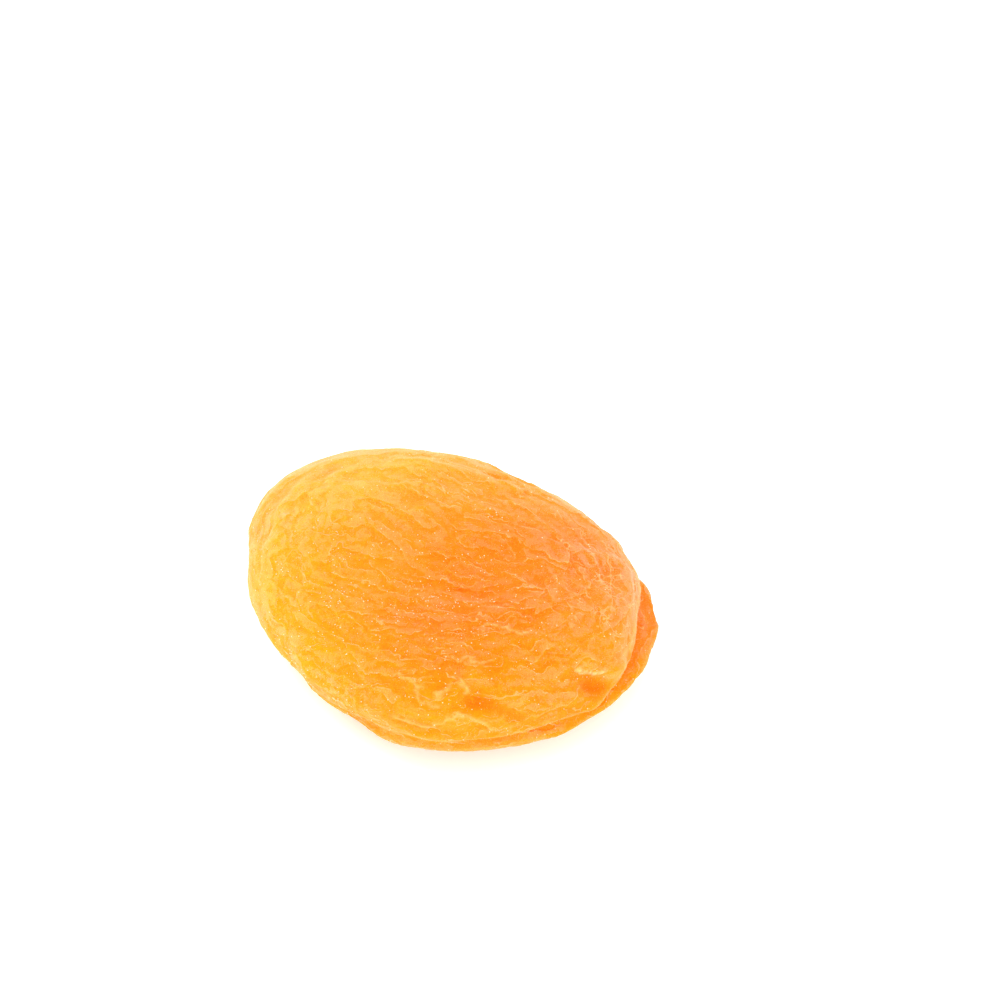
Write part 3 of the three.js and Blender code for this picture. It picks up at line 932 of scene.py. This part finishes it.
def many_of(name, shape, shape_faces, frames, places):
    """One mesh of many copies of a shape, each turned and sized by its own three vectors."""
    corners = np.einsum("pk,nkj->npj", shape, frames) + places[:, None, :]
    steps = len(shape) * np.arange(len(places))[:, None, None]
    return new_mesh(name, corners.reshape(-1, 3), (shape_faces[None] + steps).reshape(-1, 3))


def make_sugar(points, faces, normals):
    """Small pale grains of fruit sugar with eight sides, partly sunk into the skin and lying in groups."""
    random = np.random.default_rng(SUGAR_GRAINS["seed"])
    x, y, z = points.T
    waves = wave_field(points, SUGAR_GROUPS["seed"], SUGAR_GROUPS["wavelength"])[0]
    centre = SUGAR_REGION["at"]
    away = np.hypot((x - centre[0]) / SUGAR_REGION["stretch"], y - centre[1])
    weight = np.exp(SUGAR_GROUPS["clustering"] * waves) * ramp(z, *BARE_BELOW)
    weight *= SUGAR_REGION["elsewhere"] + bump(away, SUGAR_REGION["size"])
    places, out = random_places(points, faces, normals, random, SUGAR_GRAINS["count"], weight)
    radius = random.uniform(*SUGAR_GRAINS["radius"], len(places))
    turns = np.linalg.qr(random.normal(size=(len(places), 3, 3)))[0]
    turns *= np.sign(np.linalg.det(turns))[:, None, None]
    shape = np.array([(1, 0, 0), (-1, 0, 0), (0, 1, 0), (0, -1, 0), (0, 0, 1), (0, 0, -1)], float)
    rings = [(0, 2), (2, 1), (1, 3), (3, 0)]
    shape_faces = np.array([(a, b, 4) for a, b in rings] + [(b, a, 5) for a, b in rings])
    places = places + out * (1 - SUGAR_GRAINS["sunk"]) * radius[:, None]
    piece = many_of("sugar_grains", shape, shape_faces, turns * radius[:, None, None], places)
    piece.data.materials.append(plain_material("sugar", SUGAR, roughness=0.3, translucency=0.3))
    return piece


def make_down(points, faces, normals):
    """Short pale hairs all over the skin, with three sides and a point."""
    random = np.random.default_rng(HAIRS["seed"])
    weight = ramp(points[:, 2], *BARE_BELOW)
    places, out = random_places(points, faces, normals, random, HAIRS["count"], weight)
    lean = out + HAIRS["lean"] * random.normal(size=out.shape)
    lean /= np.linalg.norm(lean, axis=1)[:, None]
    side = np.cross(lean, random.normal(size=out.shape))
    side /= np.linalg.norm(side, axis=1)[:, None]
    length = random.uniform(*HAIRS["length"], len(places))[:, None]
    frames = np.stack([side * HAIRS["radius"], np.cross(lean, side) * HAIRS["radius"], lean * length], axis=1)
    corners = [math.radians(turn) for turn in (0, 120, 240)]
    shape = np.array([(math.cos(turn), math.sin(turn), 0) for turn in corners] + [(0, 0, 1)])
    shape_faces = np.array([(0, 1, 3), (1, 2, 3), (2, 0, 3), (2, 1, 0)])
    piece = many_of("down", shape, shape_faces, frames, places - HAIRS["root"] * out)
    piece.data.materials.append(plain_material("down_hair", DOWN, roughness=0.6, translucency=0.0))
    return piece


def make_stage():
    bpy.ops.mesh.primitive_circle_add(vertices=128, radius=TABLE["radius"], fill_type="NGON")
    floor = bpy.context.object
    floor.name = "floor"
    nodes = Nodes("table")
    nodes.set_shader(
        Base_Color=colour(TABLE["grey"], TABLE["grey"], TABLE["grey"]),
        Roughness=TABLE["roughness"],
        Specular_IOR_Level=TABLE["specular"],
        Emission_Color=WHITE,
        Emission_Strength=TABLE["glow"],
    )
    floor.data.materials.append(nodes.material)


def make_lights():
    world = bpy.data.worlds.new("studio")
    world.use_nodes = True
    background = world.node_tree.nodes["Background"]
    background.inputs["Color"].default_value = WHITE
    background.inputs["Strength"].default_value = STUDIO_LIGHT
    bpy.context.scene.world = world
    for light in LIGHTS:
        area = bpy.data.lights.new(light["name"], "AREA")
        area.size = light["size"]
        area.energy = light["power"]
        lamp = bpy.data.objects.new(light["name"], area)
        lamp.location = Vector(light["from"]).normalized() * light["distance"]
        lamp.rotation_euler = lamp.location.to_track_quat("Z", "Y").to_euler()
        bpy.context.scene.collection.objects.link(lamp)


def make_camera():
    azimuth = math.radians(AZIMUTH)
    elevation = math.radians(ELEVATION)
    right = Vector((math.cos(azimuth), math.sin(azimuth), 0))
    back = Vector((math.sin(azimuth), -math.cos(azimuth), 0)) * math.cos(elevation)
    back.z = math.sin(elevation)
    up = back.cross(right)
    point = Vector(LOOK_FROM)
    eye = point + back * DISTANCE
    half = PICTURE_SIZE / 2
    aim = point + (right * (half - FRUIT_PIXEL[0]) + up * (FRUIT_PIXEL[1] - half)) / PIXELS_PER_MM

    camera = bpy.data.cameras.new("camera")
    camera.sensor_width = SENSOR
    camera.lens = SENSOR * PIXELS_PER_MM * DISTANCE / PICTURE_SIZE
    camera.clip_start = CLIP_START * MM
    view = bpy.data.objects.new("camera", camera)
    view.location = eye * MM
    view.rotation_euler = (eye - aim).to_track_quat("Z", "Y").to_euler()
    bpy.context.scene.collection.objects.link(view)
    bpy.context.scene.camera = view
    bpy.context.scene.view_settings.view_transform = "Standard"


skin = make_skin()
for piece in (make_sugar(*skin), make_down(*skin)):
    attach(piece, "root")
make_stage()
make_lights()
make_camera()
